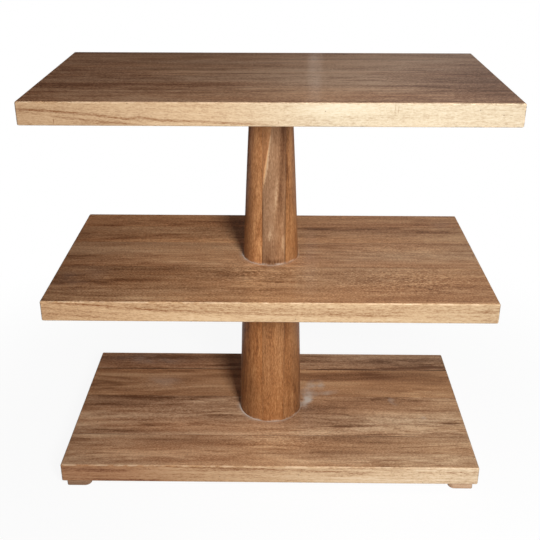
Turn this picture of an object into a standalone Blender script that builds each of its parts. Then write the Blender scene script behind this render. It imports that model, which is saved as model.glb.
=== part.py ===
# Three-tier side table in solid wood: three equal slabs of edge-glued boards on one
# turned, tapering column, drawn together by a steel rod through its middle.
# The origin is on the floor under the middle of the table. +X runs along the tiers
# to the right, and -Y is the front.

import math

import bmesh
import bpy

# Tiers
TIER_LENGTH = 0.660
TIER_DEPTH = 0.350
TIER_THICKNESS = 0.032
TIER_EDGE_EASE = 0.0025
BAY_HEIGHT = 0.2565

# Glue lines of each tier, from its back edge, as shares of its depth
TOP_SEAM_SHARES = (0.19, 0.42, 0.755)
MIDDLE_SEAM_SHARES = (0.17, 0.37, 0.65)
BASE_SEAM_SHARES = (0.17, 0.43, 0.765)

# Column: its radius under the top tier, on the middle tier and on the base tier
COLUMN_TOP_RADIUS = 0.0317
COLUMN_WAIST_RADIUS = 0.0438
COLUMN_FOOT_RADIUS = 0.0522
COLUMN_END_EASE = 0.001
HOUSING_DEPTH = 0.006
STAVE_THICKNESS = 0.035
LEFT_SEAM_OFFSET = 0.0125

# Tie rod and what it draws up
ROD_DIAMETER = 0.010
ROD_CLEARANCE = 0.0005
ROD_TAIL = 0.002
INSERT_LENGTH = 0.018
INSERT_WALL = 0.002
WASHER_RIM = 0.010
WASHER_THICKNESS = 0.0025
NUT_HEIGHT = 0.008
NUT_WALL = 0.0035
NUT_CHAMFER = 0.0006
RECESS_CLEARANCE = 0.002
RECESS_COVER = 0.0015

# Locating dowels, two at each end of each column section
DOWEL_DIAMETER = 0.008
DOWEL_REACH = 0.011
DOWEL_END_EASE = 0.0008
DOWEL_END_GAP = 0.0005
UPPER_DOWEL_SHARE = 0.60
LOWER_DOWEL_SHARE = 0.72

# Feet and their screws
FOOT_WIDTH = 0.038
FOOT_HEIGHT = 0.0127
FOOT_SETBACK = 0.006
FOOT_INNER_CORNER = 0.010
FOOT_OUTER_CORNER = 0.003
FOOT_RIM_EASE = 0.001
SCREW_LENGTH = 0.028
SCREW_SHANK_DIAMETER = 0.0045
SCREW_HEAD_DIAMETER = 0.009
SCREW_HEAD_HEIGHT = 0.003
SCREW_POINT_LENGTH = 0.005
SCREW_SINK = 0.002

# Gap left between pieces that are glued or drawn together, and overrun of every cut
SEAT_GAP = 0.0003
CUT_OVERRUN = 0.004

# Fineness of the round pieces
COLUMN_STEPS = 64
COLUMN_STATIONS = 8
SMALL_ROUND_STEPS = 24
NUT_SIDES = 6
EASE_SEGMENTS = 3
CORNER_SEGMENTS = 5
MERGE_DISTANCE = 0.00005
SHARP_ANGLE = math.radians(35)
RIM_ANGLE = math.radians(60)

BOARD_NAMES = ("back_board", "rear_centre_board", "front_centre_board", "front_board")

# Finishes: colour, roughness and metallic value
FINISHES = {
    "top_tier": ((0.30, 0.20, 0.135), 0.42, 0.0),
    "middle_tier": ((0.33, 0.21, 0.13), 0.45, 0.0),
    "base_tier": ((0.34, 0.21, 0.125), 0.45, 0.0),
    "column": ((0.35, 0.19, 0.10), 0.45, 0.0),
    "foot": ((0.30, 0.19, 0.12), 0.50, 0.0),
    "dowel": ((0.62, 0.47, 0.30), 0.60, 0.0),
    "steel": ((0.62, 0.62, 0.60), 0.32, 1.0),
}

# Heights that the pieces share
TIER_PITCH = TIER_THICKNESS + BAY_HEIGHT
BASE_CENTRE = FOOT_HEIGHT + SEAT_GAP + TIER_THICKNESS / 2
MIDDLE_CENTRE = BASE_CENTRE + TIER_PITCH
TOP_CENTRE = MIDDLE_CENTRE + TIER_PITCH
TOP_UNDERSIDE = TOP_CENTRE - TIER_THICKNESS / 2

# Sizes that follow from the ones above
ROD_BORE_RADIUS = ROD_DIAMETER / 2 + ROD_CLEARANCE
INSERT_BORE_RADIUS = ROD_DIAMETER / 2 + SEAT_GAP
INSERT_RADIUS = INSERT_BORE_RADIUS + INSERT_WALL
WASHER_RADIUS = ROD_BORE_RADIUS + WASHER_RIM
NUT_FLAT_RADIUS = INSERT_BORE_RADIUS + NUT_WALL
RECESS_RADIUS = WASHER_RADIUS + RECESS_CLEARANCE
RECESS_DEPTH = WASHER_THICKNESS + NUT_HEIGHT + ROD_TAIL + RECESS_COVER + 2 * SEAT_GAP


def clear_scene():
    for item in list(bpy.data.objects):
        bpy.data.objects.remove(item, do_unlink=True)


def new_collection(name, parent):
    collection = bpy.data.collections.new(name)
    parent.children.link(collection)
    return collection


def new_material(name, finish):
    colour, roughness, metallic = FINISHES[finish]
    material = bpy.data.materials.new(name)
    material.use_nodes = True
    shader = material.node_tree.nodes["Principled BSDF"]
    shader.inputs["Base Color"].default_value = (*colour, 1.0)
    shader.inputs["Roughness"].default_value = roughness
    shader.inputs["Metallic"].default_value = metallic
    return material


def new_empty(name, location):
    empty = bpy.data.objects.new(name, None)
    empty.location = location
    parts.objects.link(empty)
    return empty


def place(name, mesh, parent, location, collection):
    item = bpy.data.objects.new(name, mesh)
    collection.objects.link(item)
    item.parent = parent
    item.location = location
    return item


def new_part(name, mesh, parent, location, finish):
    item = place(name, mesh, parent, location, parts)
    mesh.materials.append(new_material(name, finish))
    return item


def new_cutter(name, mesh, parent, location, collection):
    item = place(name, mesh, parent, location, collection)
    item.hide_render = True
    item.display_type = "WIRE"
    return item


def mesh_from(bm, name):
    mesh = bpy.data.meshes.new(name)
    bm.to_mesh(mesh)
    bm.free()
    return mesh


def box_mesh(name, size):
    bm = bmesh.new()
    bmesh.ops.create_cube(bm, size=1.0)
    bmesh.ops.scale(bm, vec=size, verts=bm.verts)
    return mesh_from(bm, name)


def cylinder_mesh(name, radius, length, sides):
    bm = bmesh.new()
    bmesh.ops.create_cone(
        bm, cap_ends=True, segments=sides, radius1=radius, radius2=radius, depth=length
    )
    mesh = mesh_from(bm, name)
    mesh.shade_smooth()
    mesh.set_sharp_from_angle(angle=SHARP_ANGLE)
    return mesh


def profile_mesh(name, points, closed):
    # A chain of (radius, height) points in the XZ plane, running down its outer side
    bm = bmesh.new()
    verts = [bm.verts.new((radius, 0.0, height)) for radius, height in points]
    for first, second in zip(verts, verts[1:]):
        bm.edges.new((first, second))
    if closed:
        bm.edges.new((verts[-1], verts[0]))
    return mesh_from(bm, name)


def turn(item, steps):
    screw = item.modifiers.new("turned", "SCREW")
    screw.axis = "Z"
    screw.angle = math.tau
    screw.steps = steps
    screw.render_steps = steps
    screw.use_merge_vertices = True
    screw.merge_threshold = MERGE_DISTANCE
    screw.use_smooth_shade = True


def ease_edges(item, width, segments, method="NONE"):
    bevel = item.modifiers.new("eased", "BEVEL")
    bevel.width = width
    bevel.segments = segments
    bevel.limit_method = method
    return bevel


def keep_inside(item, cutter):
    boolean = item.modifiers.new("keep", "BOOLEAN")
    boolean.operation = "INTERSECT"
    boolean.object = cutter


def cut_away(item, collection):
    boolean = item.modifiers.new("cut", "BOOLEAN")
    boolean.operation = "DIFFERENCE"
    boolean.operand_type = "COLLECTION"
    boolean.collection = collection


def column_radius(drop):
    # The turned outline is a parabola through three radii: drop is measured down
    # from the top tier's underside
    waist_drop = BAY_HEIGHT
    foot_drop = BAY_HEIGHT + TIER_PITCH
    top_part = COLUMN_TOP_RADIUS * (drop - waist_drop) * (drop - foot_drop)
    waist_part = COLUMN_WAIST_RADIUS * drop * (drop - foot_drop)
    foot_part = COLUMN_FOOT_RADIUS * drop * (drop - waist_drop)
    return (
        top_part / (waist_drop * foot_drop)
        + waist_part / (waist_drop * (waist_drop - foot_drop))
        + foot_part / (foot_drop * (foot_drop - waist_drop))
    )


def round_cut(name, radius, floor, mouth, x, y, tier, collection, sides=SMALL_ROUND_STEPS):
    # A round hole in a tier from its floor to a mouth, both heights in the tier
    length = abs(mouth - floor) + CUT_OVERRUN
    direction = 1 if mouth > floor else -1
    height = floor + direction * length / 2
    mesh = cylinder_mesh(name, radius, length, sides)
    return new_cutter(name, mesh, tier, (x, y, height), collection)


def make_tier(name, centre, seam_shares, finish):
    tier = new_empty(name, (0.0, 0.0, centre))
    tier_cutters = new_collection(f"{name}_cutters", cutters)
    edge = TIER_DEPTH / 2 + CUT_OVERRUN
    seams = [TIER_DEPTH / 2 - share * TIER_DEPTH for share in seam_shares]
    backs = [edge, *[seam - SEAT_GAP / 2 for seam in seams]]
    fronts = [*[seam + SEAT_GAP / 2 for seam in seams], -edge]
    for board_name, back, front in zip(BOARD_NAMES, backs, fronts):
        full_name = f"{name}_{board_name}"
        slab = box_mesh(full_name, (TIER_LENGTH, TIER_DEPTH, TIER_THICKNESS))
        board = new_part(full_name, slab, tier, (0.0, 0.0, 0.0), finish)
        ease_edges(board, TIER_EDGE_EASE, EASE_SEGMENTS)
        slot_size = (
            TIER_LENGTH + 2 * CUT_OVERRUN,
            back - front,
            TIER_THICKNESS + 2 * CUT_OVERRUN,
        )
        slot_mesh = box_mesh(f"{full_name}_slot", slot_size)
        slot_place = (0.0, (back + front) / 2, 0.0)
        slot = new_cutter(f"{full_name}_slot", slot_mesh, tier, slot_place, cutters)
        keep_inside(board, slot)
        cut_away(board, tier_cutters)
    return tier, tier_cutters


def make_column(name, tier_above, tier_below, dowel_share, top_drop):
    # One turned section, from the tier above down into its housing in the tier below
    top = BAY_HEIGHT - SEAT_GAP
    bottom = SEAT_GAP - HOUSING_DEPTH
    floor_height = tier_below.location.z + TIER_THICKNESS / 2
    section = new_empty(name, (0.0, 0.0, floor_height))

    def radius_at(height):
        return column_radius(top_drop + BAY_HEIGHT - height)

    outline = [(radius_at(top) - COLUMN_END_EASE, top)]
    start = top - COLUMN_END_EASE
    finish = bottom + COLUMN_END_EASE
    for station in range(COLUMN_STATIONS + 1):
        height = start + (finish - start) * station / COLUMN_STATIONS
        outline.append((radius_at(height), height))
    outline.append((radius_at(bottom) - COLUMN_END_EASE, bottom))
    outline.append((ROD_BORE_RADIUS, bottom))
    outline.append((ROD_BORE_RADIUS, top))

    section_cutters = new_collection(f"{name}_cutters", cutters)
    reach = COLUMN_TOP_RADIUS + COLUMN_FOOT_RADIUS
    left_seam = -LEFT_SEAM_OFFSET
    right_seam = STAVE_THICKNESS - LEFT_SEAM_OFFSET
    spans = {
        "left_stave": (-reach, left_seam - SEAT_GAP / 2),
        "centre_stave": (left_seam + SEAT_GAP / 2, right_seam - SEAT_GAP / 2),
        "right_stave": (right_seam + SEAT_GAP / 2, reach),
    }
    for stave_name, (low, high) in spans.items():
        full_name = f"{name}_{stave_name}"
        profile = profile_mesh(full_name, outline, closed=True)
        stave = new_part(full_name, profile, section, (0.0, 0.0, 0.0), "column")
        turn(stave, COLUMN_STEPS)
        slot_size = (high - low, 2 * reach, top - bottom + 2 * CUT_OVERRUN)
        slot_mesh = box_mesh(f"{full_name}_slot", slot_size)
        slot_place = ((low + high) / 2, 0.0, (top + bottom) / 2)
        slot = new_cutter(f"{full_name}_slot", slot_mesh, section, slot_place, cutters)
        keep_inside(stave, slot)
        cut_away(stave, section_cutters)

    # The housing that the section's foot stands in
    below_name, below_cutters = tier_below.name, cutter_sets[tier_below.name]
    round_cut(
        f"{below_name}_housing",
        radius_at(bottom) + SEAT_GAP,
        TIER_THICKNESS / 2 - HOUSING_DEPTH,
        TIER_THICKNESS / 2,
        0.0,
        0.0,
        tier_below,
        below_cutters,
        COLUMN_STEPS,
    )
    offset = dowel_share * column_radius(top_drop)
    make_dowels(f"{name}_top", section, section_cutters, BAY_HEIGHT, tier_above, offset)
    make_dowels(f"{name}_foot", section, section_cutters, -HOUSING_DEPTH, tier_below, offset)


def make_dowels(name, section, section_cutters, joint_height, tier, offset):
    # Two dowels across a joint between a column end and a tier, front and back
    hole_radius = DOWEL_DIAMETER / 2 + SEAT_GAP
    hole_reach = DOWEL_REACH + DOWEL_END_GAP
    for side, y in (("back", offset), ("front", -offset)):
        full_name = f"{name}_dowel_{side}"
        pin = cylinder_mesh(full_name, DOWEL_DIAMETER / 2, 2 * DOWEL_REACH, SMALL_ROUND_STEPS)
        dowel = new_part(full_name, pin, section, (0.0, y, joint_height), "dowel")
        bevel = ease_edges(dowel, DOWEL_END_EASE, 1, "ANGLE")
        bevel.angle_limit = SHARP_ANGLE
        for holder, holder_cutters in ((section, section_cutters), (tier, cutter_sets[tier.name])):
            hole_name = f"{full_name}_hole_in_{holder.name}"
            hole = cylinder_mesh(hole_name, hole_radius, 2 * hole_reach, SMALL_ROUND_STEPS)
            height = section.location.z + joint_height - holder.location.z
            new_cutter(hole_name, hole, holder, (0.0, y, height), holder_cutters)


def make_tie_rod(top_tier, middle_tier, base_tier):
    seat = base_tier.location.z - TIER_THICKNESS / 2 + RECESS_DEPTH
    insert_top = TOP_UNDERSIDE + SEAT_GAP + INSERT_LENGTH
    washer_centre = seat - SEAT_GAP - WASHER_THICKNESS / 2
    nut_centre = seat - 2 * SEAT_GAP - WASHER_THICKNESS - NUT_HEIGHT / 2
    rod_foot = nut_centre - NUT_HEIGHT / 2 - ROD_TAIL
    rod_length = insert_top - rod_foot
    fixings = new_empty("rod_fixings", (0.0, 0.0, 0.0))

    rod_mesh = cylinder_mesh("tie_rod", ROD_DIAMETER / 2, rod_length, SMALL_ROUND_STEPS)
    new_part("tie_rod", rod_mesh, fixings, (0.0, 0.0, rod_foot + rod_length / 2), "steel")

    half = INSERT_LENGTH / 2
    sleeve = [
        (INSERT_RADIUS, half),
        (INSERT_RADIUS, -half),
        (INSERT_BORE_RADIUS, -half),
        (INSERT_BORE_RADIUS, half),
    ]
    insert_mesh = profile_mesh("rod_insert", sleeve, closed=True)
    insert = new_part("rod_insert", insert_mesh, fixings, (0.0, 0.0, insert_top - half), "steel")
    turn(insert, SMALL_ROUND_STEPS)

    half = WASHER_THICKNESS / 2
    disc = [
        (WASHER_RADIUS, half),
        (WASHER_RADIUS, -half),
        (ROD_BORE_RADIUS, -half),
        (ROD_BORE_RADIUS, half),
    ]
    washer_mesh = profile_mesh("rod_washer", disc, closed=True)
    washer = new_part("rod_washer", washer_mesh, fixings, (0.0, 0.0, washer_centre), "steel")
    turn(washer, SMALL_ROUND_STEPS)

    corner_radius = NUT_FLAT_RADIUS / math.cos(math.pi / NUT_SIDES)
    nut_mesh = cylinder_mesh("rod_nut", corner_radius, NUT_HEIGHT, NUT_SIDES)
    nut = new_part("rod_nut", nut_mesh, fixings, (0.0, 0.0, nut_centre), "steel")
    ease_edges(nut, NUT_CHAMFER, 1)
    nut_cutters = new_collection("rod_nut_cutters", cutters)
    thread_mesh = cylinder_mesh(
        "rod_nut_bore", INSERT_BORE_RADIUS, NUT_HEIGHT + 2 * CUT_OVERRUN, SMALL_ROUND_STEPS
    )
    new_cutter("rod_nut_bore", thread_mesh, fixings, (0.0, 0.0, nut_centre), nut_cutters)
    cut_away(nut, nut_cutters)

    # The insert's blind hole, the rod's way through the tiers and the nut's recess
    underside = -TIER_THICKNESS / 2
    insert_floor = underside + INSERT_LENGTH + 2 * SEAT_GAP
    insert_hole = ("insert_hole", INSERT_RADIUS + SEAT_GAP, insert_floor, underside)
    through_hole = ("rod_hole", ROD_BORE_RADIUS, TIER_THICKNESS / 2 + CUT_OVERRUN, underside)
    recess = ("nut_recess", RECESS_RADIUS, underside + RECESS_DEPTH, underside)
    for tier, holes in (
        (top_tier, (insert_hole,)),
        (middle_tier, (through_hole,)),
        (base_tier, (through_hole, recess)),
    ):
        for hole_name, radius, floor, mouth in holes:
            full_name = f"{tier.name}_{hole_name}"
            round_cut(full_name, radius, floor, mouth, 0.0, 0.0, tier, cutter_sets[tier.name])


def foot_mesh(name, x_side):
    # A square block whose two upright corners on the inner side are rounded off
    bm = bmesh.new()
    bmesh.ops.create_cube(bm, size=1.0)
    bmesh.ops.scale(bm, vec=(FOOT_WIDTH, FOOT_WIDTH, FOOT_HEIGHT), verts=bm.verts)
    weights = bm.edges.layers.float.new("bevel_weight_edge")
    for edge in bm.edges:
        first, second = edge.verts
        if abs(first.co.z - second.co.z) < FOOT_HEIGHT / 2:
            continue
        inner = first.co.x * x_side < 0.0
        edge[weights] = 1.0 if inner else FOOT_OUTER_CORNER / FOOT_INNER_CORNER
    return mesh_from(bm, name)


def make_feet(base_tier):
    centre_x = TIER_LENGTH / 2 - FOOT_SETBACK - FOOT_WIDTH / 2
    centre_y = TIER_DEPTH / 2 - FOOT_SETBACK - FOOT_WIDTH / 2
    head_base = SCREW_SINK
    screw_top = head_base + SCREW_LENGTH
    shank = SCREW_SHANK_DIAMETER / 2
    head = SCREW_HEAD_DIAMETER / 2
    flank = (head - shank) / SCREW_HEAD_HEIGHT

    screw_outline = [
        (0.0, screw_top),
        (shank, screw_top - SCREW_POINT_LENGTH),
        (shank, head_base + SCREW_HEAD_HEIGHT),
        (head, head_base),
        (0.0, head_base),
    ]
    # The countersink follows the head, one gap away from it, down past the foot
    mouth = -CUT_OVERRUN
    seat_outline = [
        (0.0, FOOT_HEIGHT + CUT_OVERRUN),
        (shank + SEAT_GAP, FOOT_HEIGHT + CUT_OVERRUN),
        (shank + SEAT_GAP, head_base + SCREW_HEAD_HEIGHT + SEAT_GAP),
        (head + SEAT_GAP, head_base + SEAT_GAP * (1 + flank)),
        (head + SEAT_GAP, mouth),
        (0.0, mouth),
    ]
    for y_name, y_side in (("front", -1), ("back", 1)):
        for x_name, x_side in (("left", -1), ("right", 1)):
            name = f"{y_name}_{x_name}_foot"
            x = x_side * centre_x
            y = y_side * centre_y
            stand = new_empty(f"{name}_place", (x, y, 0.0))
            foot = new_part(
                name, foot_mesh(name, x_side), stand, (0.0, 0.0, FOOT_HEIGHT / 2), "foot"
            )
            ease_edges(foot, FOOT_INNER_CORNER, CORNER_SEGMENTS, "WEIGHT")
            rim = ease_edges(foot, FOOT_RIM_EASE, 1, "ANGLE")
            rim.angle_limit = RIM_ANGLE

            foot_cutters = new_collection(f"{name}_cutters", cutters)
            seat_mesh = profile_mesh(f"{name}_countersink", seat_outline, closed=False)
            seat = new_cutter(f"{name}_countersink", seat_mesh, stand, (0.0, 0.0, 0.0), foot_cutters)
            turn(seat, SMALL_ROUND_STEPS)
            cut_away(foot, foot_cutters)

            screw_mesh = profile_mesh(f"{name}_screw", screw_outline, closed=False)
            screw = new_part(f"{name}_screw", screw_mesh, stand, (0.0, 0.0, 0.0), "steel")
            turn(screw, SMALL_ROUND_STEPS)

            underside = -TIER_THICKNESS / 2
            pilot_floor = screw_top + SEAT_GAP - base_tier.location.z
            round_cut(
                f"{name}_pilot_hole",
                shank + SEAT_GAP,
                pilot_floor,
                underside,
                x,
                y,
                base_tier,
                cutter_sets[base_tier.name],
            )


clear_scene()
scene_collection = bpy.context.scene.collection
parts = new_collection("three_tier_side_table", scene_collection)
cutters = new_collection("cutters", scene_collection)
cutter_sets = {}

tiers = {}
for tier_name, tier_centre, shares in (
    ("base_tier", BASE_CENTRE, BASE_SEAM_SHARES),
    ("middle_tier", MIDDLE_CENTRE, MIDDLE_SEAM_SHARES),
    ("top_tier", TOP_CENTRE, TOP_SEAM_SHARES),
):
    tiers[tier_name], cutter_sets[tier_name] = make_tier(tier_name, tier_centre, shares, tier_name)

make_column("upper_column", tiers["top_tier"], tiers["middle_tier"], UPPER_DOWEL_SHARE, 0.0)
make_column("lower_column", tiers["middle_tier"], tiers["base_tier"], LOWER_DOWEL_SHARE, TIER_PITCH)
make_tie_rod(tiers["top_tier"], tiers["middle_tier"], tiers["base_tier"])
make_feet(tiers["base_tier"])
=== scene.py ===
# Dresses the three-tier side table: the wood of its boards, staves and feet, its steel
# fixings, the studio and the camera. Sizes are in metres unless a note says otherwise.

import math

import bmesh
import bpy
from mathutils import Matrix, Vector


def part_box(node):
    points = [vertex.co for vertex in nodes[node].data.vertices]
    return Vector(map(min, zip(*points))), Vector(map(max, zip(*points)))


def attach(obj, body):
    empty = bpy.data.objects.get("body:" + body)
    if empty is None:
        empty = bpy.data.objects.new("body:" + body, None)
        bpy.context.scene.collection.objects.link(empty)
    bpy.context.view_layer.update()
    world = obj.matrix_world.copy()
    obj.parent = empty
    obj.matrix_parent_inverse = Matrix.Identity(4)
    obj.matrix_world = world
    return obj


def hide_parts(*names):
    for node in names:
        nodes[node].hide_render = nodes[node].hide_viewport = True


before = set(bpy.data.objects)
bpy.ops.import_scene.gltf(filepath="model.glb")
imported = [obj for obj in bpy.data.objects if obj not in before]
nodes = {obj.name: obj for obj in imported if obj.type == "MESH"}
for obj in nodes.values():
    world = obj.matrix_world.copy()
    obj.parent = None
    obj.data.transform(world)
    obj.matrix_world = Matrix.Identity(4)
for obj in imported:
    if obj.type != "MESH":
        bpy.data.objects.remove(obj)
scene = bpy.context.scene
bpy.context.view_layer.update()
print("frame loaded with", len(nodes), "nodes")

scene.view_settings.view_transform = "Standard"


def link(name, data):
    made = bpy.data.objects.new(name, data)
    scene.collection.objects.link(made)
    return made


# Camera, from the photograph's corners

cameraSettings = {
    "place": (0.0133, -1.244, 0.8785),
    "pitchDown": 24.767,  # degrees
    "yaw": -0.677,
    "roll": 0.074,
    "lens": 55.99,  # millimetres
    "sensor": 36.0,
    "clip": (0.01, 100.0),
}


def makeCamera(settings):
    data = bpy.data.cameras.new("photoCamera")
    data.lens = settings["lens"]
    data.sensor_width = settings["sensor"]
    data.clip_start, data.clip_end = settings["clip"]
    camera = link("photoCamera", data)
    place = Matrix.Translation(settings["place"])
    yawed = Matrix.Rotation(math.radians(-settings["yaw"]), 4, "Z")
    pitched = Matrix.Rotation(math.radians(90.0 - settings["pitchDown"]), 4, "X")
    rolled = Matrix.Rotation(math.radians(settings["roll"]), 4, "Z")
    camera.matrix_world = place @ yawed @ pitched @ rolled
    scene.camera = camera


makeCamera(cameraSettings)
print("camera placed")


# Shader maths: a wire is one node's output, and sums of wires make Math nodes


class Wire:
    def __init__(self, graph, socket):
        self.graph = graph
        self.socket = socket

    def __add__(self, other):
        return self.graph.maths("ADD", self, other)

    def __sub__(self, other):
        return self.graph.maths("SUBTRACT", self, other)

    def __rsub__(self, other):
        return self.graph.maths("SUBTRACT", other, self)

    def __mul__(self, other):
        return self.graph.maths("MULTIPLY", self, other)

    def __abs__(self):
        return self.graph.maths("ABSOLUTE", self)

    __radd__, __rmul__ = __add__, __mul__


def solid(colour):
    return colour if isinstance(colour, Wire) else (*colour, 1.0)


class Graph:
    def __init__(self, owner):
        owner.use_nodes = True
        self.tree = owner.node_tree
        self.tree.nodes.clear()

    def node(self, kind, settings=None, values=None, output=0):
        made = self.tree.nodes.new(f"ShaderNode{kind}")
        for name, value in (settings or {}).items():
            if name == "stops":
                self.setStops(made.color_ramp, value)
            else:
                setattr(made, name, value)
        for key, value in (values or {}).items():
            if isinstance(value, Wire):
                self.tree.links.new(value.socket, made.inputs[key])
            else:
                made.inputs[key].default_value = value
        return Wire(self, made.outputs[output]) if made.outputs else made

    def setStops(self, ramp, stops):
        while len(ramp.elements) < len(stops):
            ramp.elements.new(1.0)
        for element, (position, colour) in zip(ramp.elements, stops):
            element.position = position
            element.color = solid(colour)

    def maths(self, operation, *values):
        return self.node("Math", {"operation": operation}, dict(enumerate(values)))

    def largest(self, first, *others):
        for other in others:
            first = self.maths("MAXIMUM", first, other)
        return first

    def smallest(self, first, second):
        return self.maths("MINIMUM", first, second)

    def within(self, value, low=0.0, high=1.0):
        return self.node("Clamp", {}, {"Value": value, "Min": low, "Max": high})

    # 0 at the first value, 1 at the second, smooth between them
    def fade(self, value, start, end):
        values = {"Value": value, "From Min": start, "From Max": end}
        return self.node("MapRange", {"interpolation_type": "SMOOTHSTEP"}, values)

    def split(self, vector):
        made = self.node("SeparateXYZ", {}, {0: vector}).socket.node
        return [Wire(self, socket) for socket in made.outputs]

    def join(self, x, y, z):
        return self.node("CombineXYZ", {}, {0: x, 1: y, 2: z})

    def length(self, vector):
        return self.node("VectorMath", {"operation": "LENGTH"}, {0: vector}, "Value")

    def noise(self, vector, scale, detail=2.0, roughness=0.5):
        scale = scale if isinstance(scale, tuple) else (scale,) * 3
        stretched = self.node("VectorMath", {"operation": "MULTIPLY"}, {0: vector, 1: scale})
        values = {"Vector": stretched, "Scale": 1.0, "Detail": detail, "Roughness": roughness}
        return self.node("TexNoise", {}, values)

    def ramp(self, value, stops):
        return self.node("ValToRGB", {"stops": stops}, {"Fac": value})

    def blend(self, factor, first, second, mode="MIX"):
        values = {0: factor, 6: solid(first), 7: solid(second)}
        return self.node("Mix", {"data_type": "RGBA", "blend_type": mode}, values, 2)

    # A mark is an ellipsoid, 1 in its middle and 0 outside. It is given as x, y (z if upright),
    # half length, half width, strength and perhaps a turn, in millimetres and degrees. Depth
    # and reach are its middle and radius off the face.
    def mark(self, place, numbers, depth, reach, upright=False):
        x, y, halfRun, halfWidth = [number / 1000 for number in numbers[:4]]
        turn = math.radians(numbers[5]) if len(numbers) > 5 else 0.0
        centre, radii, turns = (x, y, depth), (halfRun, halfWidth, reach), (0.0, 0.0, turn)
        if upright:
            centre, radii, turns = (x, depth, y), (halfRun, reach, halfWidth), (0.0, turn, 0.0)
        values = {"Vector": place, "Location": centre, "Rotation": turns, "Scale": radii}
        apart = self.node("Mapping", {"vector_type": "TEXTURE"}, values)
        return self.fade(self.length(apart), 1.15, 0.2)

    def finish(self, colour, roughness, height, surface, metallic=0.0, coat=None):
        strength, distance = surface["bump"]
        bump = {"Height": height, "Strength": strength, "Distance": distance}
        values = {
            "Base Color": colour,
            "Roughness": roughness,
            "Metallic": metallic,
            "Specular IOR Level": surface["specular"],
            "Coat Weight": surface["coat"] if coat is None else coat,
            "Coat Roughness": surface["coatRoughness"],
            "Normal": self.node("Bump", {}, bump),
        }
        self.output("Material", self.node("BsdfPrincipled", {}, values))

    def output(self, kind, surface):
        self.node(f"Output{kind}", {}, {"Surface": surface})


def startMaterial(name):
    material = bpy.data.materials.new(name)
    graph = Graph(material)
    return material, graph, graph.node("TexCoord", {}, {}, "Object")


# Wood: long wavy growth layers round a far pith, fibres, pores and a mottled figure

# Each pattern: repeats a metre along the grain and across it, detail, roughness
woodPatterns = {
    "wave": (1.6, 8.0, 2.0),
    "ripple": (11.0, 42.0, 2.0),
    "sweep": (13.0, 13.0, 1.0),
    "band": (34.0, 34.0, 2.0, 0.5),
    "line": (140.0, 140.0, 3.0, 0.6),
    "vein": (42.0, 42.0, 2.0, 0.5),
    "veinZone": (3.0, 16.0, 2.0),
    "streak": (6.0, 70.0, 2.0, 0.5),
    "flame": (24.0, 150.0, 2.0, 0.55),
    "flameZone": (4.0, 14.0, 1.0),
    "fibre": (16.0, 560.0, 2.0, 0.6),
    "hair": (40.0, 1500.0, 1.0),
    "pore": (90.0, 1800.0, 1.0),
    "fleck": (300.0, 640.0, 2.0, 0.7),
    "hue": (2.6, 17.0, 2.0),
}
woodGrain = {
    "rippleShare": 0.12,
    "layerRun": 0.07,  # the layers' change along the grain
    "figure": (0.06, 0.34),  # everywhere, and added in its zones
    "lowShade": (0.37, 0.285, 0.235),  # darkest and palest wood
    "highShade": (1.67, 2.02, 2.30),
}
# What a look's weights weigh
toneParts = ("sweep", "band", "line", "streak", "figure", "fibre", "hair", "fleck", "vein")

# The tiers are lacquered, the column and feet dull. Bump: strength and distance.
tierSurface = {"specular": 0.10, "coat": 0.30, "coatRoughness": 0.07, "bump": (0.35, 0.0006)}
woodSurface = {"specular": 0.16, "coat": 0.0, "coatRoughness": 0.3, "bump": (0.35, 0.0006)}
fillerColour = (0.60, 0.51, 0.43)
plainPores = (0.06, 0.03, 0.015)


def woodTone(graph, place, look):
    patterns = {**woodPatterns, **look.get("patterns", {})}

    def pattern(name, vector):
        along, across, *details = patterns[name]
        return graph.noise(vector, (along, across, across), *details)

    # The grain runs along x, and no two pieces match
    values = {"Vector": place, "Location": look["shift"], "Rotation": look["turn"]}
    grain = graph.node("Mapping", {"vector_type": "POINT"}, values)
    wave, ripple = pattern("wave", grain) - 0.5, pattern("ripple", grain) - 0.5
    bend = (wave + ripple * woodGrain["rippleShare"]) * look["waviness"]
    x, y, z = graph.split(grain)
    y, z = y + bend, z + bend * 0.7
    bent = graph.join(x, y, z)
    pithY, pithZ = look["pith"]
    radius = graph.length(graph.join(0.0, y - pithY, z - pithZ))
    layers = graph.join(x * woodGrain["layerRun"], radius, look["layerStart"])
    parts = {name: pattern(name, layers) - 0.5 for name in ("sweep", "band", "line")}
    for name in ("streak", "fibre", "hair"):
        parts[name] = pattern(name, bent) - 0.5
    parts["fleck"] = pattern("fleck", grain) - 0.5
    parts["pores"] = graph.fade(pattern("pore", bent), 0.36, 0.27)
    parts["warmth"] = graph.fade(pattern("hue", grain), 0.35, 0.68)

    # Curly figure: crisp light and dark flames, stronger in some zones
    zone = graph.fade(pattern("flameZone", grain), 0.36, 0.64)
    flame = pattern("flame", bent)
    flames = graph.fade(flame, 0.53, 0.65) - graph.fade(flame, 0.47, 0.35)
    everywhere, inZones = woodGrain["figure"]
    parts["figure"] = flames * (everywhere + zone * inZones)

    # Thin dark veins along some of the layers
    veinZone = graph.fade(pattern("veinZone", grain), 0.46, 0.62)
    parts["vein"] = graph.fade(abs(pattern("vein", layers) - 0.5), 0.030, 0.003) * veinZone

    tone = 0.5
    for name, weight in zip(toneParts, look["weights"]):
        tone = tone + parts[name] * weight
    parts["tone"] = tone
    return parts


def tinted(colour, tint):
    return tuple(level * share for level, share in zip(colour, tint))


def woodColour(graph, parts, look):
    middle = look["colour"]
    low, high = tinted(middle, woodGrain["lowShade"]), tinted(middle, woodGrain["highShade"])
    colour = graph.ramp(parts["tone"], [(0.08, low), (0.5, middle), (0.92, high)])
    return graph.blend(parts["warmth"] * look["warmShare"], colour, look["warmTint"], "MULTIPLY")


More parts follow.
